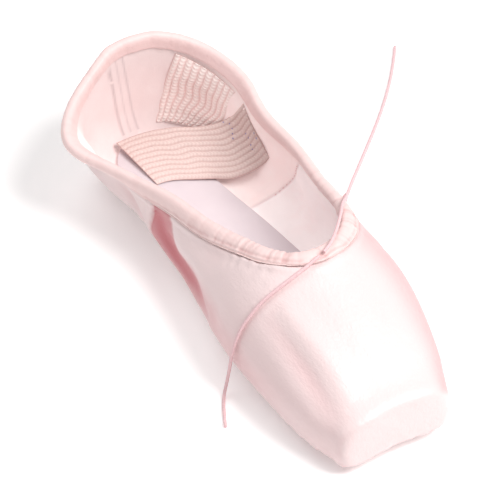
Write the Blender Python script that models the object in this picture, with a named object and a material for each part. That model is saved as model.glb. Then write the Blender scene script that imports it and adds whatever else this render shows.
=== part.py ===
"""Ballet shoe with a stiff, flat-ended satin toe box and a soft, open quarter.

The upper is a thin shell hung on ribs. Each rib runs from the edge of the sole (FOOT), out to
the widest line of the last (BELLY) and on to the collar or the top of the vamp (TOP).
Frame: +X to the toe, +Y to the shoe's left, +Z up, floor at zero. Millimetres inside, MM at the end.
"""

from collections import namedtuple
from math import cos, pi, radians, sin

import bmesh
import bpy
import numpy as np
from mathutils import Vector
from mathutils.bvhtree import BVHTree

# Main sizes
MM = 0.001
LENGTH = 236.0
BALL_WIDTH = 88.0
HEEL_HEIGHT = 58.0
INSTEP_HEIGHT = 56.0
ARCH_LIFT = 1.6
ARCH_FROM = 0.19
ARCH_TO = 0.59
TOE_SPRING = 2.0
TOE_FROM = 0.80
GAP = 0.3

# Sole and insole
SOLE_THICK = 2.0
SOLE_CHAMFER = 0.5
SOLE_BEVEL = 0.4
SOLE_TIP = 1.0
SOLE_TIP_SLOPE = 4.5
INSOLE_THICK = 1.6
MARGIN = 7.0
INSOLE_CLEAR = 0.9
INSOLE_EASE = 0.05
INSOLE_BACK = 13.0
INSOLE_FRONT = LENGTH - 14.0
FILLER_CLEAR = 0.6
FILLER_BACK = 1.0
FILLER_FRONT = 6.0
FILLER_LAP = 1.2

# Upper
BOX_RIM_DEPTH = 8.0
BOX_RIM_DRAW = 6.0
BOX_RIM_TURNS = (22, 45, 68, 90)
BOX_CENTRE = 14.5
BOX_DOME = 0.6
HEEL_TO = 0.10
THROAT_AT = 0.69
THROAT_FROM = 0.58
QUARTER_RIBS = 21
THROAT_RIBS = 7
VAMP_RIBS = 12
LOW_STEPS = 6
HIGH_STEPS = 9

# Collar binding, a casing for the drawstring
BINDING_DEPTH = 7.0
BINDING_INSIDE = 6.0
BINDING_THICK = 0.9
BINDING_PUFF = 0.5
BINDING_ROLL = 1.6
BINDING_CREST = 1.9
BINDING_SHOULDER = 1.4
BINDING_GAP = 0.5
BINDING_STEP = 8.0

# Straps and string
STRAP_THICK = 1.1
STRAP_GAP = 0.4
STRING_WIDTH = 1.5
STRING_STEP = 2.6

# "at" goes from the back of the heel to the toe, "along" is a share of LENGTH, widths are shares of
# BALL_WIDTH and heights are shares of the height of the shoe there, heel or instep.
Bend = namedtuple("Bend", "along shift")
Foot = namedtuple("Foot", "at along half wall")
Belly = namedtuple("Belly", "at along right left height roundness")
Top = namedtuple("Top", "at along right left height arch")
Edge = namedtuple("Edge", "along half")
Hang = namedtuple("Hang", "back_at back_height front_at front_height")
Fold = namedtuple("Fold", "high_along high_side high_height low_along low_side low_height")

# Middle line of the shoe, seen from above
MIDDLE = [
    Bend(0.000, -0.015),
    Bend(0.130, -0.035),
    Bend(0.255, 0.000),
    Bend(0.380, 0.035),
    Bend(0.500, 0.030),
    Bend(0.650, 0.010),
    Bend(0.780, -0.005),
    Bend(0.880, -0.025),
    Bend(1.000, -0.055),
]
FOOT = [
    Foot(0.00, 0.045, 0.000, 1.8),
    Foot(0.05, 0.055, 0.090, 1.8),
    Foot(0.11, 0.090, 0.155, 1.8),
    Foot(0.18, 0.155, 0.175, 1.8),
    Foot(0.28, 0.255, 0.170, 1.8),
    Foot(0.40, 0.380, 0.160, 1.8),
    Foot(0.50, 0.485, 0.200, 1.8),
    Foot(0.60, 0.595, 0.270, 2.0),
    Foot(0.69, 0.680, 0.315, 2.3),
    Foot(0.78, 0.770, 0.315, 2.6),
    Foot(0.87, 0.860, 0.295, 2.6),
    Foot(0.95, 0.930, 0.275, 2.6),
    Foot(1.00, 0.966, 0.262, 2.6),
]
BELLY = [
    Belly(0.00, 0.005, 0.000, 0.000, 0.405, 1.00),
    Belly(0.05, 0.020, 0.200, 0.195, 0.410, 1.00),
    Belly(0.11, 0.075, 0.365, 0.350, 0.435, 1.00),
    Belly(0.18, 0.145, 0.390, 0.415, 0.460, 1.00),
    Belly(0.28, 0.245, 0.380, 0.420, 0.420, 1.00),
    Belly(0.40, 0.380, 0.420, 0.420, 0.350, 1.00),
    Belly(0.50, 0.480, 0.445, 0.405, 0.335, 1.00),
    Belly(0.60, 0.580, 0.475, 0.425, 0.350, 1.00),
    Belly(0.69, 0.665, 0.495, 0.470, 0.370, 0.98),
    Belly(0.78, 0.755, 0.470, 0.465, 0.330, 0.84),
    Belly(0.87, 0.855, 0.430, 0.420, 0.285, 0.76),
    Belly(0.95, 0.925, 0.378, 0.373, 0.265, 0.72),
    Belly(1.00, 0.965, 0.330, 0.330, 0.285, 0.72),
]
TOP = [
    Top(0.000, 0.004, 0.000, 0.000, 1.000, 35),
    Top(0.030, 0.009, 0.115, 0.165, 0.985, 35),
    Top(0.060, 0.029, 0.215, 0.290, 0.930, 35),
    Top(0.110, 0.070, 0.395, 0.420, 0.845, 35),
    Top(0.180, 0.145, 0.545, 0.495, 0.770, 35),
    Top(0.280, 0.250, 0.455, 0.430, 0.720, 35),
    Top(0.400, 0.380, 0.360, 0.375, 0.775, 38),
    Top(0.500, 0.485, 0.305, 0.335, 0.820, 45),
    Top(0.600, 0.590, 0.215, 0.300, 0.905, 62),
    Top(0.630, 0.625, 0.185, 0.260, 0.940, 70),
    Top(0.655, 0.654, 0.135, 0.200, 0.965, 78),
    Top(0.675, 0.675, 0.080, 0.120, 0.988, 84),
    Top(0.690, 0.685, 0.000, 0.000, 1.000, 90),
    Top(0.780, 0.775, 0.000, 0.000, 0.880, 90),
    Top(0.870, 0.870, 0.000, 0.000, 0.725, 90),
    Top(0.950, 0.930, 0.000, 0.000, 0.605, 90),
    Top(1.000, 0.961, 0.000, 0.000, 0.540, 90),
]
SOLE = [
    Edge(0.039, 0.010),
    Edge(0.046, 0.085),
    Edge(0.068, 0.142),
    Edge(0.110, 0.176),
    Edge(0.170, 0.185),
    Edge(0.254, 0.174),
    Edge(0.350, 0.150),
    Edge(0.440, 0.162),
    Edge(0.530, 0.216),
    Edge(0.620, 0.270),
    Edge(0.700, 0.293),
    Edge(0.780, 0.280),
    Edge(0.830, 0.250),
    Edge(0.876, 0.205),
]

# Elastic that is sewn under the binding and lies on the heel's inner wall, top row first
SHORT_ELASTIC = [
    Hang(0.063, 0.805, 0.195, 0.655),
    Hang(0.058, 0.620, 0.190, 0.510),
    Hang(0.051, 0.430, 0.182, 0.370),
    Hang(0.046, 0.250, 0.160, 0.250),
    Hang(0.044, 0.165, 0.138, 0.175),
]
# Elastic that crosses the heel from its free end, on the right, to the left wall
LONG_ELASTIC = [
    Fold(0.046, -0.142, 0.164, 0.182, -0.106, 0.127),
    Fold(0.051, -0.057, 0.181, 0.186, -0.033, 0.127),
    Fold(0.066, 0.045, 0.224, 0.208, 0.077, 0.128),
    Fold(0.089, 0.148, 0.260, 0.227, 0.158, 0.134),
    Fold(0.123, 0.256, 0.293, 0.253, 0.225, 0.172),
    Fold(0.157, 0.347, 0.410, 0.275, 0.338, 0.259),
    Fold(0.189, 0.409, 0.635, 0.286, 0.403, 0.362),
]
# The drawstring's two ends, out of the throat, over the vamp or the collar and along the floor
RIGHT_END = [
    (166.5, -0.8, 58.2),
    (167.6, -6.5, 56.9),
    (168.3, -13.5, 54.9),
    (168.4, -21.6, 51.8),
    (168.0, -29.5, 47.5),
    (167.7, -35.7, 41.7),
    (167.3, -40.3, 35.0),
    (166.8, -43.0, 27.3),
    (166.3, -44.2, 20.5),
    (166.0, -45.1, 13.0),
    (166.2, -46.6, 6.0),
    (167.9, -48.8, 2.0),
    (171.5, -51.4, 0.9),
    (177.0, -54.4, 0.9),
    (184.0, -57.9, 0.9),
]
LEFT_END = [
    (165.6, 2.0, 58.4),
    (162.8, 7.0, 58.7),
    (157.8, 12.6, 58.1),
    (151.5, 18.3, 56.6),
    (145.4, 23.4, 55.2),
    (140.2, 27.6, 54.3),
    (135.6, 32.3, 52.0),
    (129.8, 36.2, 46.9),
    (124.2, 38.6, 39.6),
    (118.6, 40.6, 31.0),
    (114.4, 42.6, 22.0),
    (110.4, 44.8, 13.4),
    (106.6, 47.4, 7.2),
    (102.4, 51.0, 3.2),
    (97.0, 55.6, 1.5),
    (90.5, 61.8, 1.0),
    (84.5, 68.0, 0.9),
    (74.0, 79.8, 0.9),
    (64.0, 91.0, 0.9),
    (54.0, 102.0, 0.9),
    (43.5, 112.8, 0.9),
    (33.0, 122.6, 0.9),
    (22.5, 131.4, 0.9),
    (12.2, 139.2, 0.9),
]


def clear_scene():
    for item in list(bpy.data.objects):
        bpy.data.objects.remove(item, do_unlink=True)


def column(rows, name, at):
    """Reads one column of a table at the places in at."""
    stations = np.array([row[0] for row in rows], float)
    return smooth_through(stations, np.array([getattr(row, name) for row in rows], float), at)


def smooth_through(stations, values, at):
    """Smooth curve through values at stations, read at other places."""
    spans = np.diff(stations)
    slopes = np.diff(values) / spans
    tangents = np.empty_like(values)
    weights = spans[:-1] + spans[1:]
    tangents[1:-1] = (slopes[:-1] * spans[1:] + slopes[1:] * spans[:-1]) / weights
    tangents[0] = 1.5 * slopes[0] - 0.5 * tangents[1]
    tangents[-1] = 1.5 * slopes[-1] - 0.5 * tangents[-2]
    last = len(stations) - 2
    k = np.clip(np.searchsorted(stations, at, side="right") - 1, 0, last)
    s = (at - stations[k]) / spans[k]
    rise = 3 * s**2 - 2 * s**3
    bend = (s**3 - 2 * s**2 + s) * tangents[k] + (s**3 - s**2) * tangents[k + 1]
    return values[k] + (values[k + 1] - values[k]) * rise + bend * spans[k]


def lift(x):
    """Height of the sole above the floor: flat at heel and ball, up at the arch and the toe."""
    arch = np.clip((x / LENGTH - ARCH_FROM) / (ARCH_TO - ARCH_FROM), 0, 1)
    toe = np.clip((x / LENGTH - TOE_FROM) / (1 - TOE_FROM), 0, 1)
    return ARCH_LIFT * np.sin(pi * arch) ** 2 + TOE_SPRING * toe**2


def shift(x):
    """How far the middle line lies to the left, for the shoe's own slight curve."""
    return column(MIDDLE, "shift", np.clip(x / LENGTH, 0, 1)) * BALL_WIDTH


def height_at(at):
    """Height that the shares of a rib's heights are taken of, from heel to instep."""
    forward = np.clip((at - HEEL_TO) / (THROAT_AT - HEEL_TO), 0, 1)
    forward = 3 * forward**2 - 2 * forward**3
    return HEEL_HEIGHT + (INSTEP_HEIGHT - HEEL_HEIGHT) * forward


def rib_places():
    """Where the ribs stand, closest together round the throat."""
    quarter = np.linspace(0, THROAT_FROM, QUARTER_RIBS + 1)
    throat = np.linspace(THROAT_FROM, THROAT_AT, THROAT_RIBS + 1)
    vamp = np.linspace(THROAT_AT, 1, VAMP_RIBS + 1)
    return np.concatenate([quarter, throat[1:], vamp[1:]])


def sole_margin(foot, at):
    """Inner edge of the part of the upper that is turned under the foot."""
    along = np.gradient(foot, at, axis=0)
    along /= np.linalg.norm(along, axis=1)[:, None]
    inner = foot + MARGIN * np.stack([along[:, 1], -along[:, 0]], 1)
    inner[:, 1] = np.maximum(inner[:, 1], 0)
    return inner


def outer_ribs(side):
    """Points of the outer face, one row a rib, for the left (+1) or the right (-1) half."""
    hand = "left" if side > 0 else "right"
    at = rib_places()
    closed = at > THROAT_AT - 1e-9
    foot = np.stack([column(FOOT, "along", at) * LENGTH, column(FOOT, "half", at) * BALL_WIDTH], 1)
    belly = np.stack([column(BELLY, "along", at) * LENGTH, column(BELLY, hand, at) * BALL_WIDTH], 1)
    top = np.stack([column(TOP, "along", at) * LENGTH, column(TOP, hand, at) * BALL_WIDTH], 1)
    top[closed, 1] = 0
    foot_z = SOLE_THICK + GAP + lift(foot[:, 0])
    belly_z = column(BELLY, "height", at) * height_at(at)
    top_z = column(TOP, "height", at) * height_at(at)
    roundness = column(BELLY, "roundness", at)
    arch = np.where(closed, 90, np.minimum(column(TOP, "arch", at), 89))
    inner = sole_margin(foot, at)
    open_end = SOLE[-1].along * LENGTH - MARGIN
    rows = []
    for k in range(len(at)):
        if foot[k, 0] > open_end:
            inner[k] = foot[k, 0], 0
        row = []
        for step in range(3):
            x, y = inner[k] + (foot[k] - inner[k]) * step / 3
            row.append([x, y, foot_z[k]])
        for step in range(LOW_STEPS + 1):
            angle = pi / 2 * step / LOW_STEPS
            out = sin(angle) ** roundness[k]
            up = 1 - max(cos(angle), 0.0) ** roundness[k]
            x, y = foot[k] + (belly[k] - foot[k]) * out
            row.append([x, y, foot_z[k] + (belly_z[k] - foot_z[k]) * up])
        end = radians(arch[k])
        reach = 1 - max(cos(end), 0.0) ** roundness[k]
        for step in range(1, HIGH_STEPS + 1):
            angle = end * step / HIGH_STEPS
            turn = (1 - max(cos(angle), 0.0) ** roundness[k]) / reach
            up = (sin(angle) / sin(end)) ** roundness[k]
            x, y = belly[k] + (top[k] - belly[k]) * turn
            row.append([x, y, belly_z[k] + (top_z[k] - belly_z[k]) * up])
        rows.append(row)
    rows = np.array(rows)
    rows = np.concatenate([rows, box_end(rows[-1])])
    rows[:, :, 1] = rows[:, :, 1] * side + shift(rows[:, :, 0])
    return rows


def box_end(rib):
    """Rounded rim and flat end of the toe box: the last rib, drawn in ring by ring."""
    centre = BOX_CENTRE + lift(rib[0, 0])
    reach = np.maximum(np.hypot(rib[:, 1], rib[:, 2] - centre), 1e-6)
    rings = []
    for angle in BOX_RIM_TURNS:
        draw = 1 - BOX_RIM_DRAW * (1 - cos(radians(angle))) / reach
        x = rib[:, 0] + BOX_RIM_DEPTH * sin(radians(angle))
        rings.append(np.stack([x, rib[:, 1] * draw, centre + (rib[:, 2] - centre) * draw], 1))
    flat = rings[-1]
    crown = flat[:, 0].mean() + BOX_DOME
    for draw in (0.65, 0.3, 0.0):
        x = flat[:, 0] * draw + crown * (1 - draw)
        ring = np.stack([x, flat[:, 1] * draw, centre + (flat[:, 2] - centre) * draw], 1)
        rings.append(ring)
    return np.array(rings)


def weld(halves):
    """Numbers the points of both halves, giving points on the middle line one number."""
    points = []
    seen = {}
    index = []
    for rows in halves:
        table = np.empty(rows.shape[:2], int)
        for i, row in enumerate(rows):
            for j, point in enumerate(row):
                key = tuple(np.round(point, 4) + 0.0)
                if key not in seen:
                    seen[key] = len(points)
                    points.append(point)
                table[i, j] = seen[key]
        index.append(table)
    return np.array(points), index


def grid_faces(table, side):
    faces = []
    for i in range(table.shape[0] - 1):
        for j in range(table.shape[1] - 1):
            a, b = table[i, j], table[i, j + 1]
            c, d = table[i + 1, j + 1], table[i + 1, j]
            loop = (a, b, c, d) if side > 0 else (d, c, b, a)
            face = tuple(dict.fromkeys(loop))
            if len(face) > 2:
                faces.append(face)
    return faces


def point_normals(points, faces):
    normals = np.zeros_like(points)
    for face in faces:
        a, b, c = points[face[0]], points[face[1]], points[face[2]]
        d = points[face[-1]]
        turn = np.cross(b - a, c - a) + (np.cross(c - a, d - a) if len(face) > 3 else 0)
        for corner in face:
            normals[corner] += turn
    return normals / np.linalg.norm(normals, axis=1)[:, None]


def split(points, faces):
    """Cuts each four-sided face along its shorter diagonal."""
    triangles = []
    for face in faces:
        if len(face) == 3:
            triangles.append(face)
            continue
        a, b, c, d = face
        if np.linalg.norm(points[a] - points[c]) <= np.linalg.norm(points[b] - points[d]):
            triangles += [(a, b, c), (a, c, d)]
        else:
            triangles += [(a, b, d), (b, c, d)]
    return triangles


def rims(faces):
    """Edges that only one face uses, each in the direction in which that face runs."""
    used = {(face[k - 1], face[k]) for face in faces for k in range(len(face))}
    return [edge for edge in used if (edge[1], edge[0]) not in used]


def add_object(name, points, faces, material):
    mesh = bpy.data.meshes.new(name)
    mesh.from_pydata([tuple(point * MM) for point in points], [], faces)
    solid = bmesh.new()
    solid.from_mesh(mesh)
    bmesh.ops.recalc_face_normals(solid, faces=solid.faces)
    solid.to_mesh(mesh)
    solid.free()
    mesh.materials.append(material)
    item = bpy.data.objects.new(name, mesh)
    bpy.context.scene.collection.objects.link(item)
    return item


def plain_material(name, colour, roughness):
    material = bpy.data.materials.new(name)
    material.use_nodes = True
    shader = material.node_tree.nodes["Principled BSDF"]
    shader.inputs["Base Color"].default_value = (*colour, 1)
    shader.inputs["Roughness"].default_value = roughness
    return material


def loft_faces(rings, count, closed):
    """Quads between rings of count points. An open loft gets an end cap at each end."""
    faces = []
    for i in range(rings if closed else rings - 1):
        here, there = i * count, (i + 1) % rings * count
        for j in range(count):
            k = (j + 1) % count
            faces.append((here + j, here + k, there + k, there + j))
    if not closed:
        faces.append(tuple(range(count)))
        faces.append(tuple((rings - 1) * count + j for j in range(count)))
    return faces


def make_upper(material):
    """The shell: outer face, inner face a wall's thickness inside it, and two rims."""
    halves = [outer_ribs(1), outer_ribs(-1)]
    outer, index = weld(halves)
    faces = grid_faces(index[0], 1) + grid_faces(index[1], -1)
    normals = point_normals(outer, faces)
    wall = np.append(column(FOOT, "wall", rib_places()), [FOOT[-1].wall] * (len(BOX_RIM_TURNS) + 3))
    thick = np.empty(len(outer))
    for table in index:
        for i, row in enumerate(table):
            thick[row] = wall[i]
    inner = outer - normals * thick[:, None]
    count = len(outer)
    solid = split(outer, faces)
    solid += [tuple(count + k for k in reversed(face)) for face in split(inner, faces)]
    solid += [(b, a, count + a, count + b) for a, b in rims(faces)]
    add_object("upper", np.concatenate([outer, inner]), solid, material)
    return outer, inner, normals, index, faces


def surface_at(tree, point):
    """Nearest place on a face of the shell, and that face's outward normal."""
    place, normal, _, _ = tree.find_nearest(Vector(point))
    return np.array(place), np.array(normal)


def make_binding(outer, inner, normals, index, faces, material):
    """Casing folded over the collar: a U-shaped strip, down both faces of the shell."""
    outside = BVHTree.FromPolygons([Vector(point) for point in outer], split(outer, faces))
    inside = BVHTree.FromPolygons([Vector(point) for point in inner], split(inner, faces))
    edges = dict(rims(faces))
    start = index[0][0, -1]
    loop = [start]
    while edges[loop[-1]] != start:
        loop.append(edges[loop[-1]])
    places = []
    for k, here in enumerate(loop):
        after = loop[(k + 1) % len(loop)]
        steps = int(np.ceil(np.linalg.norm(outer[after] - outer[here]) / BINDING_STEP))
        for step in range(steps):
            share = step / steps
            places.append([
                outer[here] * (1 - share) + outer[after] * share,
                inner[here] * (1 - share) + inner[after] * share,
                normals[here] * (1 - share) + normals[after] * share,
                rib_slope(index, outer, here) * (1 - share) + rib_slope(index, outer, after) * share,
            ])
    thick = BINDING_THICK
    outside_face = ((0.5, 0), (1.0, 0), (1.0, thick), (0.55, thick + BINDING_PUFF), (0.12, BINDING_ROLL))
    inside_face = ((0.12, thick + BINDING_PUFF), (0.6, thick), (1.0, thick), (1.0, 0), (0.5, 0))
    rings = []
    for k, (rim, lining, out, slope) in enumerate(places):
        along = places[(k + 1) % len(places)][0] - places[k - 1][0]
        out = out / np.linalg.norm(out)
        down = np.cross(out, along)
        down /= np.linalg.norm(down)
        if k == 0:
            facing = np.sign(np.dot(down, slope))
        down *= facing
        up = -down
        ring = []
        for depth, off in outside_face:
            place, face_out = surface_at(outside, rim + down * depth * BINDING_DEPTH)
            ring.append(place + face_out * (BINDING_GAP + off))
        ring.append(rim + up * BINDING_SHOULDER + out * BINDING_THICK)
        ring.append((rim + lining) / 2 + up * BINDING_CREST)
        ring.append(lining + up * BINDING_SHOULDER - out * BINDING_THICK)
        for depth, off in inside_face:
            place, face_out = surface_at(inside, lining + down * depth * BINDING_INSIDE)
            ring.append(place - face_out * (BINDING_GAP + off))
        ring.append(lining + (up - out) * BINDING_GAP)
        ring.append(rim + (up + out) * BINDING_GAP)
        rings.append(ring)
    points = np.array(rings).reshape(-1, 3)
    solid = loft_faces(len(rings), len(rings[0]), True)
    add_object("collar_binding", points, solid, material)


def rib_slope(index, outer, here):
    """Direction from a point of the collar to the next point down its rib."""
    for table in index:
        rib = np.argmax(table[:, -1] == here)
        if table[rib, -1] == here:
            slope = outer[table[rib, -2]] - outer[here]
            return slope / np.linalg.norm(slope)
    return np.zeros(3)


def make_outsole(material):
    """Thin leather sole: stations across the foot, close together at both ends."""
    first, last = SOLE[0].along, SOLE[-1].along
    turns = np.linspace(0, pi, 37)
    stations = first + (last - first) * (1 - np.cos(turns)) / 2
    rings = []
    for share in stations:
        x = share * LENGTH
        half = float(column(SOLE, "half", np.array([share]))[0]) * BALL_WIDTH
        half = min(half, SOLE_TIP + (last * LENGTH - x) * SOLE_TIP_SLOPE)
        z = float(lift(np.array([x]))[0])
        side = []
        for inset, height in (
            (SOLE_CHAMFER, 0),
            (0, SOLE_CHAMFER),
            (0, SOLE_THICK - SOLE_BEVEL),
            (SOLE_BEVEL, SOLE_THICK),
        ):
            side.append((x, half - inset, z + height))
        mirror = [(x, -y, height) for x, y, height in reversed(side)]
        middle = float(shift(np.array([x]))[0])
        rings.append([(px, py + middle, pz) for px, py, pz in side + mirror])
    points = np.array(rings).reshape(-1, 3)
    add_object("outsole", points, loft_faces(len(rings), 8, False), material)


def side_at(rows, x, height):
    """Where the inner face of one half stands at one place along the foot, at one height."""
    xs = []
    ys = []
    for row in rows:
        low = row[: LOW_STEPS + 4]
        xs.append(np.interp(height, low[:, 2], low[:, 0]))
        ys.append(np.interp(height, low[:, 2], low[:, 1]))
    return float(np.interp(x, xs, ys))


def make_insole(inner, index, material):
    """Insole board on the turned-under margin, with the filler that fills the hole in it."""
    ribs = len(rib_places())
    left = inner[index[0][:ribs, 3:]]
    right = inner[index[1][:ribs, 3:]]
    along = [row.along for row in FOOT]
    thick = [row.wall for row in FOOT]
    turns = np.linspace(0, pi, 33)
    board = []
    for x in INSOLE_BACK + (INSOLE_FRONT - INSOLE_BACK) * (1 - np.cos(turns)) / 2:
        wall = float(np.interp(x / LENGTH + INSOLE_EASE, along, thick))
        base = float(lift(np.array([x]))[0]) + SOLE_THICK + GAP + wall + GAP
        top = base + INSOLE_THICK
        wide_l = side_at(left, x, base) - INSOLE_CLEAR
        wide_r = side_at(right, x, base) + INSOLE_CLEAR
        board.append([(x, wide_l, base), (x, wide_l, top), (x, wide_r, top), (x, wide_r, base)])
    points = np.array(board).reshape(-1, 3)
    item = add_object("insole", points, loft_faces(len(board), 4, False), material)
    edge_l = inner[index[0][:ribs, 0]]
    edge_r = inner[index[1][:ribs, 0]]
    filler = []
    start = edge_l[0, 0] + FILLER_BACK
    stop = SOLE[-1].along * LENGTH - MARGIN - FILLER_FRONT
    for x in np.linspace(start, stop, 15):
        base = float(lift(np.array([x]))[0]) + SOLE_THICK + GAP
        top = base + FOOT[0].wall + FILLER_LAP
        wide_l = float(np.interp(x, edge_l[:, 0], edge_l[:, 1])) - FILLER_CLEAR
        wide_r = float(np.interp(x, edge_r[:, 0], edge_r[:, 1])) + FILLER_CLEAR
        filler.append([(x, wide_l, base), (x, wide_l, top), (x, wide_r, top), (x, wide_r, base)])
    points = np.array(filler).reshape(-1, 3)
    plug = add_object("filler", points, loft_faces(len(filler), 4, False), material)
    plug.hide_render = True
    plug.display_type = "WIRE"
    joined = item.modifiers.new("filler", "BOOLEAN")
    joined.operation = "UNION"
    joined.solver = "EXACT"
    joined.object = plug


def wall_place(inner, index, at, height):
    """Point of the left half's inner face, by place along the ribs and height."""
    places = rib_places()
    k = min(int(np.searchsorted(places, at, side="right")) - 1, len(places) - 2)
    share = (at - places[k]) / (places[k + 1] - places[k])
    found = []
    for row in (inner[index[0][k, 3:]], inner[index[0][k + 1, 3:]]):
        found.append([np.interp(height, row[:, 2], row[:, axis]) for axis in range(3)])
    return np.array(found[0]) * (1 - share) + np.array(found[1]) * share


def strap_solid(name, grid, material):
    """Thickens a grid of points, rows along the strap, into one closed strip."""
    rows, across = grid.shape[:2]
    run = np.gradient(grid, axis=0)
    span = np.gradient(grid, axis=1)
    out = np.cross(run, span)
    out *= STRAP_THICK / 2 / np.linalg.norm(out, axis=2)[:, :, None]
    rings = []
    for k in range(rows):
        rings.append(np.concatenate([grid[k] + out[k], (grid[k] - out[k])[::-1]]))
    points = np.array(rings).reshape(-1, 3)
    add_object(name, points, loft_faces(rows, across * 2, False), material)


def make_straps(inner, index, faces, material):
    """Short one hugs the heel's left wall, long one lies over it and across the insole."""
    grid = []
    for row in SHORT_ELASTIC:
        line = []
        for share in np.linspace(0, 1, 7):
            at = row.back_at + (row.front_at - row.back_at) * share
            height = row.back_height + (row.front_height - row.back_height) * share
            line.append(wall_place(inner, index, at, height * HEEL_HEIGHT))
        grid.append(line)
    grid = np.array(grid)
    inward = np.cross(np.gradient(grid, axis=1), np.gradient(grid, axis=0))
    inward /= np.linalg.norm(inward, axis=2)[:, :, None]
    heel_middle = np.array([grid[:, :, 0].max(), 0, HEEL_HEIGHT / 2])
    inward *= np.sign(((heel_middle - grid) * inward).sum(2))[:, :, None]
    strap_solid("short_elastic", grid + inward * (STRAP_THICK / 2 + STRAP_GAP), material)
    sizes = np.array([LENGTH, BALL_WIDTH, HEEL_HEIGHT])
    rows = np.array(LONG_ELASTIC)
    at = np.linspace(0, 1, len(rows))
    fine = np.linspace(0, 1, 19)
    high = np.stack([smooth_through(at, rows[:, k], fine) for k in range(3)], 1) * sizes
    low = np.stack([smooth_through(at, rows[:, k + 3], fine) for k in range(3)], 1) * sizes
    grid = np.stack([high * (1 - share) + low * share for share in np.linspace(0, 1, 5)], 1)
    wall = BVHTree.FromPolygons([Vector(point) for point in inner], split(inner, faces))
    clear = STRAP_THICK / 2 + STRAP_GAP
    for point in grid.reshape(-1, 3):
        place, out = surface_at(wall, point)
        point -= out * max(clear - np.dot(place - point, out), 0)
    strap_solid("long_elastic", grid, material)


def make_string(name, route, material):
    """One end of the drawstring: a round cord on one smooth curve through its route."""
    route = np.array(route)
    steps = np.linalg.norm(np.diff(route, axis=0), axis=1)
    at = np.concatenate([[0], np.cumsum(steps)])
    count = int(at[-1] / (STRING_STEP * STRING_WIDTH)) + 1
    fine = np.linspace(0, at[-1], count)
    points = np.stack([smooth_through(at, route[:, k], fine) for k in range(3)], 1) * MM
    curve = bpy.data.curves.new(name, "CURVE")
    curve.dimensions = "3D"
    curve.bevel_depth = STRING_WIDTH / 2 * MM
    curve.bevel_resolution = 2
    curve.use_fill_caps = True
    line = curve.splines.new("POLY")
    line.points.add(count - 1)
    for place, point in zip(line.points, points):
        place.co = (*point, 1)
    curve.materials.append(material)
    item = bpy.data.objects.new(name, curve)
    bpy.context.scene.collection.objects.link(item)


def centre_on_floor():
    """Moves all of it so that the shoe, without its string, is centred over the origin."""
    solids = [item.data for item in bpy.data.objects if item.type == "MESH"]
    points = np.array([point.co for solid in solids for point in solid.vertices])
    middle = (points.min(0) + points.max(0)) / 2
    move = Vector((-middle[0], -middle[1], -points[:, 2].min()))
    for solid in solids:
        for point in solid.vertices:
            point.co += move
    for item in bpy.data.objects:
        if item.type == "CURVE":
            for point in item.data.splines[0].points:
                point.co = (*(point.co.to_3d() + move), 1)


def main():
    clear_scene()
    satin = plain_material("satin", (0.85, 0.62, 0.62), 0.35)
    tape = plain_material("binding_satin", (0.80, 0.55, 0.55), 0.5)
    leather = plain_material("sole_leather", (0.75, 0.52, 0.38), 0.7)
    cotton = plain_material("insole_cotton", (0.84, 0.78, 0.78), 0.8)
    elastic = plain_material("elastic", (0.82, 0.66, 0.64), 0.7)
    cord = plain_material("cord_cotton", (0.85, 0.66, 0.66), 0.7)
    outer, inner, normals, index, faces = make_upper(satin)
    make_binding(outer, inner, normals, index, faces, tape)
    make_outsole(leather)
    make_insole(inner, index, cotton)
    make_straps(inner, index, faces, elastic)
    make_string("drawstring_right_end", RIGHT_END, cord)
    make_string("drawstring_left_end", LEFT_END, cord)
    centre_on_floor()


main()
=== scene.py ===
"""Ballet shoe in pale pink satin: the looks of each piece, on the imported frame.

Lengths are in millimetres, times MM where they reach Blender. +X to the toe, +Y to the shoe's left.
"""
from math import cos, pi, radians, sin

import bmesh
import bpy
import numpy as np
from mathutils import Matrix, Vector, noise
from mathutils.bvhtree import BVHTree
from mathutils.kdtree import KDTree


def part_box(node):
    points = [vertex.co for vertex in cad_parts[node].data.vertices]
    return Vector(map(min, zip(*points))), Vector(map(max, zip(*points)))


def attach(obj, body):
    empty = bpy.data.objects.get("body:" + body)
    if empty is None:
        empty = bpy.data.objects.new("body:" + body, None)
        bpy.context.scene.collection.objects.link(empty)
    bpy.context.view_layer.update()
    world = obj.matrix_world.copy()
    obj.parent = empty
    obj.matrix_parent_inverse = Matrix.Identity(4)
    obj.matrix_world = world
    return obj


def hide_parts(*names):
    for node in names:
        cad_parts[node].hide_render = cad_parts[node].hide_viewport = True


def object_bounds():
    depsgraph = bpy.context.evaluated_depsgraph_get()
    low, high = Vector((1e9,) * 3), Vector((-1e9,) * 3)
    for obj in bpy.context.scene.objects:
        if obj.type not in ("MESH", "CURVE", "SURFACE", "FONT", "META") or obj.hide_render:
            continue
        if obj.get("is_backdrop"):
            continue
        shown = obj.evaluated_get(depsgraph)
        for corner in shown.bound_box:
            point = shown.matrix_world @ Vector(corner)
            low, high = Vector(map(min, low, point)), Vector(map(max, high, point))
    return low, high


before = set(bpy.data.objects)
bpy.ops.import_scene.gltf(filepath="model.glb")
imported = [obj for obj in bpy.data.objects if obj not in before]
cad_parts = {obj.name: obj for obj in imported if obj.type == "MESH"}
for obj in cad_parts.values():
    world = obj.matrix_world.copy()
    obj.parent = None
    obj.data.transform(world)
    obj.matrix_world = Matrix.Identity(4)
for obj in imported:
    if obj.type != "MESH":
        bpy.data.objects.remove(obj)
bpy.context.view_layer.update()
MM = 0.001


def in_mm(corners):
    return [np.array(corner) / MM for corner in corners]


upper_low, upper_high = in_mm(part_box("upper"))
sole_low, sole_high = in_mm(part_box("outsole"))

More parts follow.
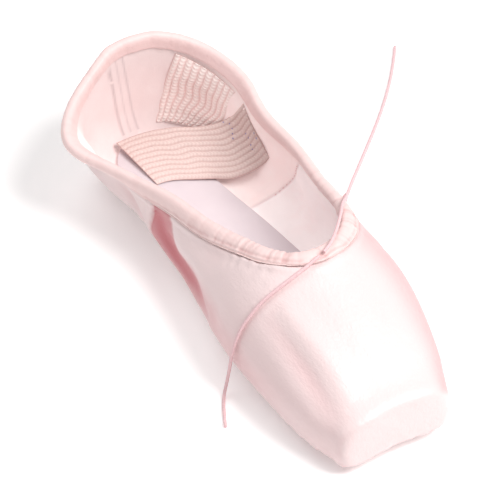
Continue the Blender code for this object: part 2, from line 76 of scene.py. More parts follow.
# Camera: the photo's angle to the shoe, from a lens long enough to give its flat perspective.
# It aims near the middle of the vamp, and a small shift centres the one shoe.
CAMERA_TURN = radians(58.6)
CAMERA_RISE = radians(43.6)
CAMERA_DISTANCE = 1495.0
CAMERA_LENS = 246.0
CAMERA_SENSOR = 36
CAMERA_SHIFT = (-0.027, 0.012)
CAMERA_NEAREST = 0.01
CAMERA_AIM = Vector((2.5, 5.1, 20.0))


def add_object(name, data):
    made = bpy.data.objects.new(name, data)
    bpy.context.scene.collection.objects.link(made)
    return made


camera = add_object("camera", bpy.data.cameras.new("camera"))
level = cos(CAMERA_RISE)
toward = Vector((sin(CAMERA_TURN) * level, -cos(CAMERA_TURN) * level, sin(CAMERA_RISE)))
camera.location = (CAMERA_AIM + toward * CAMERA_DISTANCE) * MM
camera.rotation_euler = toward.to_track_quat("Z", "Y").to_euler()
camera.data.lens = CAMERA_LENS
camera.data.sensor_width = CAMERA_SENSOR
camera.data.shift_x, camera.data.shift_y = CAMERA_SHIFT
camera.data.clip_start = CAMERA_NEAREST
bpy.context.scene.camera = camera

# Drawstring: its two free ends, a round cotton cord that comes out of the casing's hole at the
# throat. They follow the same points as the source's cord.
STRING_WIDTH = 1.5
STRING_STEP = 2.0
RIGHT_END = [
    (166.5, -0.8, 58.2),
    (167.6, -6.5, 56.9),
    (168.3, -13.5, 54.9),
    (168.4, -21.6, 51.8),
    (168.0, -29.5, 47.5),
    (167.7, -35.7, 41.7),
    (167.3, -40.3, 35.0),
    (166.8, -43.0, 27.3),
    (166.3, -44.2, 20.5),
    (166.0, -45.1, 13.0),
    (166.2, -46.6, 6.0),
    (167.9, -48.8, 2.0),
    (171.5, -51.4, 0.9),
    (177.0, -54.4, 0.9),
    (184.0, -57.9, 0.9),
]
LEFT_END = [
    (165.6, 2.0, 58.4),
    (162.8, 7.0, 58.7),
    (157.8, 12.6, 58.1),
    (151.5, 18.3, 56.6),
    (145.4, 23.4, 55.2),
    (140.2, 27.6, 54.3),
    (135.6, 32.3, 52.0),
    (129.8, 36.2, 46.9),
    (124.2, 38.6, 39.6),
    (118.6, 40.6, 31.0),
    (114.4, 42.6, 22.0),
    (110.4, 44.8, 13.4),
    (106.6, 47.4, 7.2),
    (102.4, 51.0, 3.2),
    (97.0, 55.6, 1.5),
    (90.5, 61.8, 1.0),
    (84.5, 68.0, 0.9),
    (74.0, 79.8, 0.9),
    (64.0, 91.0, 0.9),
    (54.0, 102.0, 0.9),
    (43.5, 112.8, 0.9),
    (33.0, 122.6, 0.9),
    (22.5, 131.4, 0.9),
    (12.2, 139.2, 0.9),
]
# The source's points count from the back of the heel, the frame from the middle of the shoe.
FROM_HEEL = np.array([-117.554, 5.13, 0.0])


def smooth_through(stations, values, at):
    """Smooth curve through values at stations, read at other places."""
    spans = np.diff(stations)
    slopes = np.diff(values) / spans
    tangents = np.empty_like(values)
    tangents[1:-1] = (slopes[:-1] * spans[1:] + slopes[1:] * spans[:-1]) / (spans[:-1] + spans[1:])
    tangents[0] = 1.5 * slopes[0] - 0.5 * tangents[1]
    tangents[-1] = 1.5 * slopes[-1] - 0.5 * tangents[-2]
    k = np.clip(np.searchsorted(stations, at, side="right") - 1, 0, len(stations) - 2)
    s = (at - stations[k]) / spans[k]
    bend = (s**3 - 2 * s**2 + s) * tangents[k] + (s**3 - s**2) * tangents[k + 1]
    return values[k] + (values[k + 1] - values[k]) * (3 * s**2 - 2 * s**3) + bend * spans[k]


def add_piece(name, data, slot, *replaced):
    piece = add_object(name, data)
    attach(piece, "root")
    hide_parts(*replaced)
    return piece


def distance_along(points):
    """Distance of each point from the first, along the line through them all."""
    return np.concatenate([[0], np.cumsum(np.linalg.norm(np.diff(points, axis=0), axis=1))])


def points_through(at, route, fine):
    """Points at fine distances on the smooth curve that meets a route's points at others."""
    return np.stack([smooth_through(at, route[:, k], fine) for k in range(3)], 1)


def route_points(route, pitch):
    """Points about a pitch apart on the smooth curve through a route."""
    route = np.array(route, float)
    at = distance_along(route)
    fine = np.linspace(0, at[-1], int(at[-1] / pitch) + 1)
    return points_through(at, route, fine)


def shade_smooth(mesh):
    mesh.polygons.foreach_set("use_smooth", np.ones(len(mesh.polygons), bool))


def add_string(name, node, route):
    points = route_points(route, STRING_STEP) + FROM_HEEL
    curve = bpy.data.curves.new(name, "CURVE")
    curve.dimensions = "3D"
    curve.bevel_depth = STRING_WIDTH / 2 * MM
    curve.bevel_resolution = 4
    curve.use_fill_caps = True
    line = curve.splines.new("POLY")
    line.points.add(len(points) - 1)
    for place, point in zip(line.points, points):
        place.co = (*(point * MM), 1)
    helper = add_object(name + "_line", curve)
    graph = bpy.context.evaluated_depsgraph_get()
    tube = bpy.data.meshes.new_from_object(helper.evaluated_get(graph))
    bpy.data.objects.remove(helper)
    shade_smooth(tube)
    piece = add_piece(name, tube, "cord_cotton", node)
    return piece


right_string = add_string("drawstring_right", "drawstring_right_end", RIGHT_END)
left_string = add_string("drawstring_left", "drawstring_left_end", LEFT_END)

# Materials: each is a Principled shader with its own thread, grain or nap as bump, scaled in
# millimetres on object coordinates. Colours are given as sRGB hex.


def linear(hex_colour):
    parts = [int(hex_colour[k : k + 2], 16) / 255 for k in (1, 3, 5)]
    return (*[p / 12.92 if p <= 0.04045 else ((p + 0.055) / 1.055) ** 2.4 for p in parts], 1)


def add_node(tree, kind, settings=None, links=None):
    """Adds one node, with settings by property or input name and links by input name."""
    made = tree.nodes.new(kind)
    for name, value in (settings or {}).items():
        if name in made.inputs:
            made.inputs[name].default_value = value
        else:
            setattr(made, name, value)
    for name, source in (links or {}).items():
        tree.links.new(source, made.inputs[name])
    return made


def new_material(name, roughness, **settings):
    material = bpy.data.materials.new(name)
    material.use_nodes = True
    tree = material.node_tree
    shader = tree.nodes["Principled BSDF"]
    shader.inputs["Roughness"].default_value = roughness
    for key, value in settings.items():
        shader.inputs[key.replace("_", " ")].default_value = value
    place = add_node(tree, "ShaderNodeTexCoord").outputs["Object"]
    return material, tree, shader, place


# The colour sockets of a mix node, by number, since its sockets share their names
MIX_COLOURS, MIX_RESULT = (6, 7), 2


def mixed(tree, first, second, factor):
    """Colour between two hex colours or sockets by a factor socket."""
    mix = add_node(tree, "ShaderNodeMix", {"data_type": "RGBA"}, {"Factor": factor})
    for number, colour in zip(MIX_COLOURS, (first, second)):
        if isinstance(colour, str):
            mix.inputs[number].default_value = linear(colour)
        else:
            tree.links.new(colour, mix.inputs[number])
    return mix.outputs[MIX_RESULT]


def attribute(tree, name):
    """Socket of the values that a mesh keeps at its points under a name."""
    return add_node(tree, "ShaderNodeAttribute", {"attribute_name": name}).outputs["Fac"]


def ramp(tree, source, low, high):
    """Source scaled so that low gives 0 and high gives 1, clamped."""
    settings = {"From Min": low, "From Max": high}
    return add_node(tree, "ShaderNodeMapRange", settings, {"Value": source}).outputs["Result"]


def noise_at(tree, place, size, detail=2.0, stretch=(1, 1, 1)):
    """Noise with features of a size in millimetres."""
    scaled = add_node(tree, "ShaderNodeMapping", {"Scale": stretch}, {"Vector": place})
    settings = {"Scale": 1 / (size * MM), "Detail": detail}
    made = add_node(tree, "ShaderNodeTexNoise", settings, {"Vector": scaled.outputs[0]})
    return made.outputs["Fac"]


def bumped(tree, shader, layers):
    """Chains bumps: (height socket, depth in millimetres) each."""
    before = None
    for height, depth in layers:
        links = {"Height": height}
        if before:
            links["Normal"] = before
        bump = add_node(tree, "ShaderNodeBump", {"Strength": 1.0, "Distance": depth * MM}, links)
        before = bump.outputs["Normal"]
    tree.links.new(before, shader.inputs["Normal"])


def satin_material(name, lit, deep, roughness):
    """Satin: fine floats along the shoe, a broad gloss, and a deeper pink painted as shade in its
    hollows.
    """
    material, tree, shader, place = new_material(name, roughness, Specular_IOR_Level=0.55)
    shader.inputs["Sheen Weight"].default_value = 0.2
    shader.inputs["Sheen Roughness"].default_value = 0.45
    shader.inputs["Coat Weight"].default_value = 0.07
    shader.inputs["Coat Roughness"].default_value = 0.4
    # Painted shade: the base colour deepens from the lit pink towards the deep pink by the mesh's shade
    # attribute
    tree.links.new(mixed(tree, lit, deep, attribute(tree, "hollow")), shader.inputs["Base Color"])
    threads = noise_at(tree, place, 0.7, 2, (0.12, 1, 1))
    slubs = noise_at(tree, place, 3.4, 4, (0.5, 1, 1))
    nap = noise_at(tree, place, 1.1, 3)
    bumped(tree, shader, [(threads, 0.06), (slubs, 0.28), (nap, 0.12)])
    return material


def lining_material():
    """Plain-woven cotton, matt, with faint creases: white canvas in the vamp, pinker behind it."""
    material, tree, shader, place = new_material("cotton_lining", 0.85, Specular_IOR_Level=0.2)
    shade = ramp(tree, noise_at(tree, place, 16, 3), 0.35, 0.75)
    canvas = mixed(tree, "#fdfafa", "#f3eaea", shade)
    behind = mixed(tree, "#fbedeb", "#f3e0de", shade)
    cloth = mixed(tree, canvas, behind, attribute(tree, "quarter"))
    # Painted shade: a grey mauve along the lining's seams, its heel tape and towards the heel
    lined = mixed(tree, cloth, "#bfadae", attribute(tree, "hollow"))
    tree.links.new(lined, shader.inputs["Base Color"])
    # Painted light: a faint glow lifts the lining out of the shade inside the shoe
    shader.inputs["Emission Color"].default_value = linear("#f7dedc")
    shader.inputs["Emission Strength"].default_value = 0.15
    grain = noise_at(tree, place, 0.65, 2)
    crease = noise_at(tree, place, 7, 4, (1, 1, 0.5))
    bumped(tree, shader, [(grain, 0.10), (crease, 0.35)])
    return material


satin = satin_material("pink_satin", "#efd9d9", "#c96b73", 0.42)
binding_satin = satin_material("binding_satin", "#f4d7d5", "#bf7b7b", 0.52)
cotton_lining = lining_material()

# Upper: pale pink satin over a cotton lining, glued stiff in the toe box and soft behind it. The
# CAD shell's triangles are joined back to quads and smoothed, then creased along listed routes:
# troughs and ridges move both faces of the shell, pleats and gathers only the satin.


def quad_cage(node):
    """A CAD node as a welded bmesh, in millimetres, with pairs of triangles joined to quads."""
    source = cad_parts[node]
    cage = bmesh.new()
    cage.from_mesh(source.data)
    bmesh.ops.transform(cage, matrix=source.matrix_world, verts=cage.verts)
    bmesh.ops.scale(cage, vec=Vector((1, 1, 1)) / MM, verts=cage.verts)
    bmesh.ops.remove_doubles(cage, verts=cage.verts, dist=0.01)
    bmesh.ops.join_triangles(
        cage,
        faces=cage.faces,
        angle_face_threshold=radians(50),
        angle_shape_threshold=radians(80),
    )
    return cage


def smoothed(cage, name, levels):
    """Mesh of a cage after subdivision, in millimetres."""
    mesh = bpy.data.meshes.new(name + "_cage")
    cage.to_mesh(mesh)
    helper = add_object(name + "_cage", mesh)
    rounded = helper.modifiers.new("rounded", "SUBSURF")
    rounded.levels = levels
    rounded.render_levels = levels
    graph = bpy.context.evaluated_depsgraph_get()
    made = bpy.data.meshes.new_from_object(helper.evaluated_get(graph))
    bpy.data.objects.remove(helper)
    made.name = name
    return made


def coordinates(mesh, what="co"):
    values = np.empty(len(mesh.vertices) * 3)
    if what == "co":
        mesh.vertices.foreach_get("co", values)
    else:
        mesh.vertex_normals.foreach_get("vector", values)
    return values.reshape(-1, 3)


def finish_mesh(mesh, points, attributes=None):
    """Sets the points, turned from millimetres to metres, with shading smooth."""
    mesh.vertices.foreach_set("co", (points * MM).ravel())
    shade_smooth(mesh)
    for name, values in (attributes or {}).items():
        layer = mesh.attributes.new(name, "FLOAT", "POINT")
        layer.data.foreach_set("value", np.asarray(values, float))
    mesh.update()


MIDDLE_Y = 5.0
CAVITY_FROM_HEEL, CAVITY_FROM_TOE, CAVITY_HEIGHT = 34.0, 26.0, 20.0


def cavity_axis(points):
    """The point inside the shoe that a wall's normal is read against."""
    axis = np.empty_like(points)
    back, front = upper_low[0] + CAVITY_FROM_HEEL, upper_high[0] - CAVITY_FROM_TOE
    axis[:, 0] = np.clip(points[:, 0], back, front)
    axis[:, 1] = MIDDLE_Y
    axis[:, 2] = CAVITY_HEIGHT
    return axis


def bell(away, width):
    """1 at no distance, and next to nothing from two widths on."""
    return np.exp(-((away / width) ** 2))


SATIN, LINING = 0, 1
cage = quad_cage("upper")
cage.normal_update()
for face in cage.faces:
    centre = np.array([face.calc_center_median()])
    outward = np.dot(np.array(face.normal), (centre - cavity_axis(centre))[0])
    face.material_index = SATIN if outward > 0 else LINING
COLLAR_ABOVE, COLLAR_BEHIND, COLLAR_TURN = 24, 55, radians(60)
rim_corners = []
for edge in cage.edges:
    if len(edge.link_faces) == 2 and min(vert.co.z for vert in edge.verts) > COLLAR_ABOVE:
        if edge.calc_face_angle() > COLLAR_TURN and edge.verts[0].co.x < COLLAR_BEHIND:
            rim_corners += [vert.co.to_tuple() for vert in edge.verts]
rim_corners = np.array(rim_corners)

# Collar line: the middle of the upper's rim, as a closed curve, to measure run and depth from
COLLAR_CENTRE = np.array([-32.0, 4.0])
COLLAR_STEPS = 720
COLLAR_BLUR = 0.05
arms = rim_corners[:, :2] - COLLAR_CENTRE
turns = np.arctan2(arms[:, 1], arms[:, 0])
order = np.argsort(turns)
wrapped = np.concatenate([turns[order] - 2 * pi, turns[order], turns[order] + 2 * pi])
tiled = np.concatenate([rim_corners[order]] * 3)
around = np.linspace(-pi, pi, COLLAR_STEPS, endpoint=False)
collar = []
for turn in around:
    near = bell(wrapped - turn, COLLAR_BLUR)
    collar.append((tiled * near[:, None]).sum(0) / near.sum())
collar = np.array(collar)
collar_steps = np.linalg.norm(np.diff(collar, axis=0, append=collar[:1]), axis=1)
collar_run = np.concatenate([[0], np.cumsum(collar_steps)[:-1]])
collar_run -= collar_run[np.argmax(collar[:, 0])]
collar_length = collar_steps.sum()
collar_tree = KDTree(COLLAR_STEPS)
for k, point in enumerate(collar):
    collar_tree.insert(point, k)
collar_tree.balance()


def run_and_depth(points):
    """Distance along the collar from the throat's tip, and distance from the collar."""
    found = [collar_tree.find(point) for point in points]
    run = collar_run[[index for _, index, _ in found]]
    run = (run + collar_length / 2) % collar_length - collar_length / 2
    return run, np.array([distance for _, _, distance in found])


def noise_of(points, size, seed=0.0):
    """Smooth noise between about -1 and 1, with features of a size in millimetres."""
    return np.array([noise.noise(Vector(p) / size + Vector((seed, seed, seed))) for p in points])


def fade(values, start, end):
    """1 below start, 0 above end, smooth between."""
    share = np.clip((values - start) / (end - start), 0, 1)
    return 1 - share * share * (3 - 2 * share)


RIDGE_HEIGHT, RIDGE_AT, RIDGE_SHARPNESS = 0.16, 1.9, 1.4
CREASE_POINTS = 60


def crease(points, route, width, depth):
    """Soft trough along a given route, with a low ridge at either side."""
    route = np.array(route, float)
    at = distance_along(route)
    fine = np.linspace(0, at[-1], CREASE_POINTS)
    line = points_through(at, route, fine)
    away = np.linalg.norm(points[:, None, :] - line[None, :, :], axis=2)
    nearest = away.argmin(1)
    taper = np.sin(pi * np.clip(fine[nearest] / at[-1], 0.0, 1)) ** 0.5
    reach = away.min(1) / width
    ridge = RIDGE_HEIGHT * np.exp(-((reach - RIDGE_AT) ** 2) * RIDGE_SHARPNESS)
    return depth * taper * (ridge - np.exp(-(reach**2)))


# Each side seam stands at its foot's place along the shoe and leans forwards as it rises
RIGHT_SEAM_FOOT, RIGHT_SEAM_LEAN = -41.5, 0.15
LEFT_SEAM_FOOT, LEFT_SEAM_LEAN = -42.3, 0.42


def seam_place(points):
    """Where the side seam stands along the shoe, at the height and on the side of each point."""
    right = RIGHT_SEAM_FOOT + RIGHT_SEAM_LEAN * points[:, 2]
    left = LEFT_SEAM_FOOT + LEFT_SEAM_LEAN * points[:, 2]
    return np.where(points[:, 1] < MIDDLE_Y, right, left)


def cut_finer(mesh, wanted):
    """Cuts the edges of the wanted faces in three."""
    edges = set()
    for face in mesh.faces:
        if wanted(face, np.array(face.calc_center_median())):
            edges.update(face.edges)
    bmesh.ops.subdivide_edges(mesh, edges=list(edges), cuts=2, use_grid_fill=True)


PLEAT_FROM = sole_high[0] - 12
PLEAT_HEIGHT = 11.0


def has_pleats(face, centre):
    return face.material_index == SATIN and centre[0] > PLEAT_FROM and centre[2] < PLEAT_HEIGHT


SEAM_BAND, SEAM_BAND_MIDDLE = 5.0, 1.5
SIDE_FROM = 12
HEEL_BACK, HEEL_Y, HEEL_BAND = -95, 3.0, 8


def has_seam(face, centre):
    behind = seam_place(centre[None])[0] - centre[0]
    on_heel = centre[0] < HEEL_BACK and abs(centre[1] - HEEL_Y) < HEEL_BAND
    on_side = abs(centre[1] - MIDDLE_Y) > SIDE_FROM
    return on_heel or (on_side and abs(behind - SEAM_BAND_MIDDLE) < SEAM_BAND)


upper_mesh = smoothed(cage, "upper", 2)
cage.free()
refined = bmesh.new()
refined.from_mesh(upper_mesh)
cut_finer(refined, has_pleats)
cut_finer(refined, has_seam)
# The satin over the platform's upper rim is padded, so it turns without an edge
PLATFORM_FROM, PLATFORM_LOW, PLATFORM_PASSES = 98.0, 13.0, 30
padded = [v for v in refined.verts if v.co.x > PLATFORM_FROM and v.co.z > PLATFORM_LOW]
every_way = {"use_axis_x": True, "use_axis_y": True, "use_axis_z": True}
for _ in range(PLATFORM_PASSES):
    bmesh.ops.smooth_vert(refined, verts=padded, factor=0.5, **every_way)
refined.to_mesh(upper_mesh)
refined.free()
upper_points = coordinates(upper_mesh)
wall_x, wall_y, wall_z = upper_points.T
upper_normals = coordinates(upper_mesh, "normal")
face_slots = np.empty(len(upper_mesh.polygons), int)
upper_mesh.polygons.foreach_get("material_index", face_slots)
is_satin = np.zeros(len(upper_points), bool)
is_lining = np.zeros(len(upper_points), bool)
for face, slot_number in zip(upper_mesh.polygons, face_slots):
    (is_satin if slot_number == SATIN else is_lining)[list(face.vertices)] = True
rim_point = is_satin & is_lining
outward = np.where(is_satin[:, None], upper_normals, -upper_normals)
run, depth = run_and_depth(upper_points)

# Troughs of the soft quarter and wing, and ridges of the box, right side first. Each is a route
# of places on the wall, its width and its depth, which is below nothing for a ridge.
move = np.zeros(len(upper_points))
RIGHT_FOLDS = [
    (
        [
            (-35.6, -27.8, 33.0),
            (-31.0, -28.0, 29.0),
            (-27.6, -28.6, 24.6),
            (-21.0, -29.0, 22.5),
            (-14.5, -30.0, 20.6),
            (-4.0, -31.0, 22.0),
            (6.0, -32.0, 22.6),
            (14.0, -34.0, 20.0),
            (23.6, -35.6, 18.5),
        ],
        5.6,
        3.0,
    ),
    ([(-19.0, -27.0, 33.5), (-10.0, -28.0, 31.5), (2.0, -29.0, 31.0), (14.0, -31.5, 29.0)], 6.0, -0.5),
    ([(-68.0, -30.0, 29.0), (-57.0, -28.6, 26.0), (-48.0, -28.0, 20.0), (-44.0, -26.0, 13.0)], 3.6, 0.8),
    ([(-60.0, -33.0, 36.0), (-57.0, -29.0, 26.0), (-52.0, -25.0, 15.0)], 6.0, 0.6),
    ([(-88.0, -33.0, 36.0), (-84.0, -28.0, 24.0), (-80.0, -22.0, 14.0)], 7.0, 0.7),
    ([(24.0, -33.0, 30.0), (30.0, -37.0, 22.0), (38.0, -40.0, 15.0)], 6.0, 0.5),
    ([(56.0, -20.5, 46.0), (73.6, -18.0, 42.5), (87.0, -15.4, 38.6), (106.0, -15.5, 30.0)], 6.5, -1.2),
    ([(54.0, -24.5, 44.5), (79.0, -23.8, 36.5), (98.0, -23.5, 28.5), (112.0, -23.0, 22.0)], 4.6, 1.3),
    ([(50.0, -38.0, 28.0), (70.0, -35.5, 24.0), (90.0, -31.0, 19.0), (106.0, -27.0, 15.0)], 7.0, -0.7),
    ([(109.0, -17.0, 29.0), (111.0, -6.0, 30.0), (111.5, 6.0, 30.0), (109.0, 22.0, 28.0)], 6.0, -0.25),
]
LEFT_FOLDS = [
    ([(-33.0, 37.0, 34.0), (-28.0, 40.0, 27.0), (-20.0, 42.0, 20.0), (-8.0, 43.0, 16.0)], 4.5, 1.6),
    ([(-46.0, 37.0, 32.0), (-48.0, 38.0, 22.0), (-54.0, 36.0, 12.0)], 4.5, 0.8),
    ([(-14.0, 37.0, 37.0), (4.0, 40.0, 33.0), (18.0, 43.0, 28.0)], 5.0, -0.8),
    ([(-84.0, 38.0, 36.0), (-82.0, 34.0, 24.0), (-78.0, 28.0, 13.0)], 7.0, 0.7),
    ([(58.0, 27.0, 42.0), (76.0, 28.0, 37.0), (92.0, 27.0, 33.0), (104.0, 24.0, 28.0)], 7.0, -0.5),
]
for route, width, deep in RIGHT_FOLDS + LEFT_FOLDS:
    move += crease(upper_points, route, width, deep)
# The whole wall is a little uneven, more so behind the stiff box
STIFF_WAVE, SOFT_WAVE, WAVE_SIZE = 0.10, 0.45, 22
soft = fade(wall_x, 5, 45)
waves = (STIFF_WAVE + SOFT_WAVE * soft) * noise_of(upper_points, WAVE_SIZE)
move += waves * fade(-depth, -7, -2)
# Painted shade: the deepest pink lies under the near wing, where the wall turns under, away from
# the light, from the side seam forwards: sharp along the wing's edge, and fading out below it and
# towards the toe
WING_EDGE = [
    (-37, 50),
    (-27, 44),
    (-23.7, 38),
    (-20, 33),
    (-16.7, 29.8),
    (-11.5, 28.3),
    (-4, 29.5),
    (2, 30.5),
    (14, 30.5),
    (30, 31.5),
    (60, 27),
]
WING_SHADE_AT, WING_SHADE_SHARE = (-12, 0, 12, 30, 60, 90), (0.82, 0.66, 0.42, 0.26, 0.16, 0)
NEAR_FROM = -8
TROUGH_DEPTH, TROUGH_SHADE = 2.6, 0.35
wing_x, wing_z = np.array(WING_EDGE, float).T
under = np.interp(wall_x, wing_x, wing_z) - wall_z
behind_seam = seam_place(upper_points) - wall_x
softness = np.interp(wall_x, (-10, 30), (2.0, 7.0))
strength = np.interp(wall_x, WING_SHADE_AT, WING_SHADE_SHARE)
reach = fade(behind_seam, -1.2, -0.2) * (wall_y < NEAR_FROM) * strength
under_wing_shade = fade(-under / softness, -1.0, 0.4) * fade(-wall_z, -18, -5) * reach
# Painted shade in the troughs, deeper as they sink, and under the wing
hollow = np.clip(-move / TROUGH_DEPTH, 0, 1) * TROUGH_SHADE + under_wing_shade
# Painted shade where the wall is steep: a pink band down the far shoulder of the box, and faint on the
# near side
FAR_STEEP_SHADE, NEAR_STEEP_SHADE = 0.5, 0.1
normal_x, normal_y, normal_z = upper_normals.T
far_steep = FAR_STEEP_SHADE * fade(-normal_y, -0.84, -0.25) * fade(-normal_z, -0.5, -0.05)
near_steep = NEAR_STEEP_SHADE * fade(normal_z, 0.2, 0.85)
steep = np.where(wall_y > MIDDLE_Y, far_steep, near_steep) * fade(normal_x, 0.5, 0.8)
hollow += steep * fade(-wall_x, -40, 0)

# Gathers under the binding, deepest at the throat, with a soft bulge along the binding's hem
EVEN_GATHER, THROAT_GATHER, GATHER_SIZE, GATHER_STRETCH = 0.10, 0.34, 2.6, 0.25
HEM_BULGE, HEM_DEPTH, HEM_WIDTH = 0.7, 7.9, 1.4
near_throat = fade(np.abs(run), 30, 75)
stretched = np.stack([run, depth * GATHER_STRETCH, 0 * run], 1)
puckers = noise_of(stretched, GATHER_SIZE, 3.0)
satin_only = (EVEN_GATHER + THROAT_GATHER * near_throat) * puckers * fade(depth, 8, 16)
satin_only += HEM_BULGE * bell(depth - HEM_DEPTH, HEM_WIDTH)

# Pleats: flat folds that fan out from the sole's front and die away up the toe box
PLEATS = 15
PLEAT_FAN = radians(88)
PLEAT_CENTRE = (sole_high[0] - 22, 4.0)
PLEAT_RISE, PLEAT_LAP, PLEAT_SHADE, PLEAT_SHADE_AT = 0.6, 0.86, 0.3, 0.9
angle = np.arctan2(wall_y - PLEAT_CENTRE[1], wall_x - PLEAT_CENTRE[0])
place = (angle / PLEAT_FAN + 1) / 2 * PLEATS + 0.25 * noise_of(upper_points, 9, 5.0)
step = place - np.floor(place)
fold = np.where(step < PLEAT_LAP, step / PLEAT_LAP, (1 - step) / (1 - PLEAT_LAP))
low = fade(wall_z, 4.0, 9.0) * (np.abs(angle) < PLEAT_FAN)
front = wall_x > sole_high[0] - 8
satin_only += np.where(front, PLEAT_RISE * fold * low, 0)
# Painted shade along the drop at each pleat's lap
pleat_shade = np.where(front, low * fade(np.abs(step - PLEAT_SHADE_AT), 0.02, 0.13), 0)

# Seams: a side seam on each side with a tape behind it, and the heel's, with a wide tape inside
SEAM_AHEAD, SEAM_DEPTH, SEAM_WIDTH = 0.4, 0.5, 0.9
TAPE_MIDDLE, TAPE_EDGE, TAPE_RISE = 2.4, (1.7, 2.3), 0.45
HEEL_LEAN, HEEL_LEAN_FROM, HEEL_DEPTH, HEEL_WIDTH = 0.12, 5, 0.4, 0.7
HEEL_TAPE_EDGE, HEEL_TAPE_RISE, HEEL_TAPE_LOW = (3.6, 4.4), 0.4, 6
INSIDE_DEPTH, INSIDE_WIDTH, INSIDE_TAPE = 0.3, 0.6, 0.8
LINING_WAVE, LINING_WAVE_SIZE = 0.25, 9
on_side = np.abs(wall_y - MIDDLE_Y) > SIDE_FROM
from_seam = behind_seam + SEAM_AHEAD
tape = fade(np.abs(behind_seam - TAPE_MIDDLE), *TAPE_EDGE)
satin_only += np.where(on_side, TAPE_RISE * tape - SEAM_DEPTH * bell(from_seam, SEAM_WIDTH), 0)
at_heel = wall_x < HEEL_BACK
across_heel = wall_y - HEEL_Y + (wall_z - HEEL_LEAN_FROM) * HEEL_LEAN
satin_only -= np.where(at_heel, HEEL_DEPTH * bell(across_heel, HEEL_WIDTH), 0)
heel_tape = fade(np.abs(across_heel), *HEEL_TAPE_EDGE)
lining_only = np.where(at_heel & (wall_z > HEEL_TAPE_LOW), HEEL_TAPE_RISE * heel_tape, 0)
seam_inside = bell(from_seam, INSIDE_WIDTH) - INSIDE_TAPE * tape
lining_only -= np.where(on_side, INSIDE_DEPTH * seam_inside, 0)
lining_waves = LINING_WAVE * noise_of(upper_points, LINING_WAVE_SIZE, 8.0)
lining_only += lining_waves * fade(behind_seam, -4, 0)
satin_only[rim_point] = 0
lining_only[rim_point] = 0
shift = move + np.where(is_satin, satin_only, 0)
moved = upper_points + outward * shift[:, None]
moved -= outward * np.where(is_lining, lining_only, 0)[:, None]

# Painted shade: deeper colour in the satin's troughs, pleats and seams, and along the lining's seams
# and heel, with painted light on the raised seam tape
SEAM_SHADE, SEAM_SHADE_WIDTH, TAPE_PAINTED_LIGHT = 0.4, 1.1, 0.5
TAPE_LINE_AT, TAPE_LINE_WIDTH, TAPE_LINE_LOW, TAPE_LINE_SHADE = 3.9, 0.6, 8, 0.5
HEEL_LINE_SHARE, HEEL_LINE_WIDTH = 0.6, 0.5
HEEL_LINING_SHADE, LINING_SEAM_SHADE, LINING_SEAM_WIDTH = 0.42, 0.35, 0.6
seam_light_and_shade = SEAM_SHADE * bell(from_seam, SEAM_SHADE_WIDTH) - TAPE_PAINTED_LIGHT * tape
seam_shade = np.where(on_side, seam_light_and_shade, 0)
shade = np.where(is_satin, hollow + PLEAT_SHADE * pleat_shade + seam_shade, 0)
inside = ~is_satin
tape_lines = bell(np.abs(across_heel) - TAPE_LINE_AT, TAPE_LINE_WIDTH)
tape_lines += HEEL_LINE_SHARE * bell(across_heel, HEEL_LINE_WIDTH)
on_tape = inside & at_heel & (wall_z > TAPE_LINE_LOW)
shade += np.where(on_tape, TAPE_LINE_SHADE * tape_lines, 0)
shade += np.where(inside, HEEL_LINING_SHADE * fade(wall_x, -106, -84), 0)
shade += np.where(inside & on_side, LINING_SEAM_SHADE * bell(behind_seam, LINING_SEAM_WIDTH), 0)
upper_mesh.materials.clear()
for material in (satin, cotton_lining):
    upper_mesh.materials.append(material)
upper_mesh.polygons.foreach_set("material_index", face_slots)
quarter = fade(-behind_seam, -0.8, 0.8)
finish_mesh(upper_mesh, moved, {"hollow": np.clip(shade, 0, 1), "quarter": quarter})
add_piece("satin_upper", upper_mesh, "satin", "upper")

# Binding: a bias-cut casing rolled over the collar, smoothed, then puckered by its drawstring,
# with a row of small stitches near its lower edge.
FINE_SIZE, FINE_STRETCH, FINE_EVEN, FINE_THROAT = 1.5, 0.16, 0.10, 0.34
LUMP_SIZE, LUMP_STRETCH, LUMP_EVEN, LUMP_THROAT = 5.0, 0.25, 0.16, 0.20
STITCH_DEPTH = 5.4
GROOVE_DEPTH, GROOVE_WIDTH, GROOVE_SHADE = 0.35, 0.6, 0.25
HOLE, HOLE_DEPTH, HOLE_WIDTH = np.array([47.6, 5.8, 58.4]), 1.0, 1.5
HEM_PRESS = 0.55
GATHER_SHADE, DEEPEST_SHADE = 0.8, 0.95
cage = quad_cage("collar_binding")
binding_mesh = smoothed(cage, "binding", 3)
cage.free()
binding_points = coordinates(binding_mesh)
binding_normals = coordinates(binding_mesh, "normal")
run, depth = run_and_depth(binding_points)
facing = ((binding_points - cavity_axis(binding_points)) * binding_normals).sum(1)
near_throat = fade(np.abs(run), 20, 95)
puckers = noise_of(np.stack([run, depth * FINE_STRETCH, 0 * run], 1), FINE_SIZE, 7.0)
lumps = noise_of(np.stack([run, depth * LUMP_STRETCH, 0 * run], 1), LUMP_SIZE, 2.0)
gather = (FINE_EVEN + FINE_THROAT * near_throat) * puckers
gather += (LUMP_EVEN + LUMP_THROAT * near_throat) * lumps
gather *= fade(depth, 6.0, 7.4)
groove = bell(depth - STITCH_DEPTH, GROOVE_WIDTH) * (facing > 0)
hole = bell(np.linalg.norm(binding_points - HOLE, axis=1), HOLE_WIDTH)
press = HEM_PRESS * fade(-depth, -7.0, -5.9) * (facing > 0)
sunk = gather - GROOVE_DEPTH * groove - HOLE_DEPTH * hole - press
binding_moved = binding_points + binding_normals * sunk[:, None]
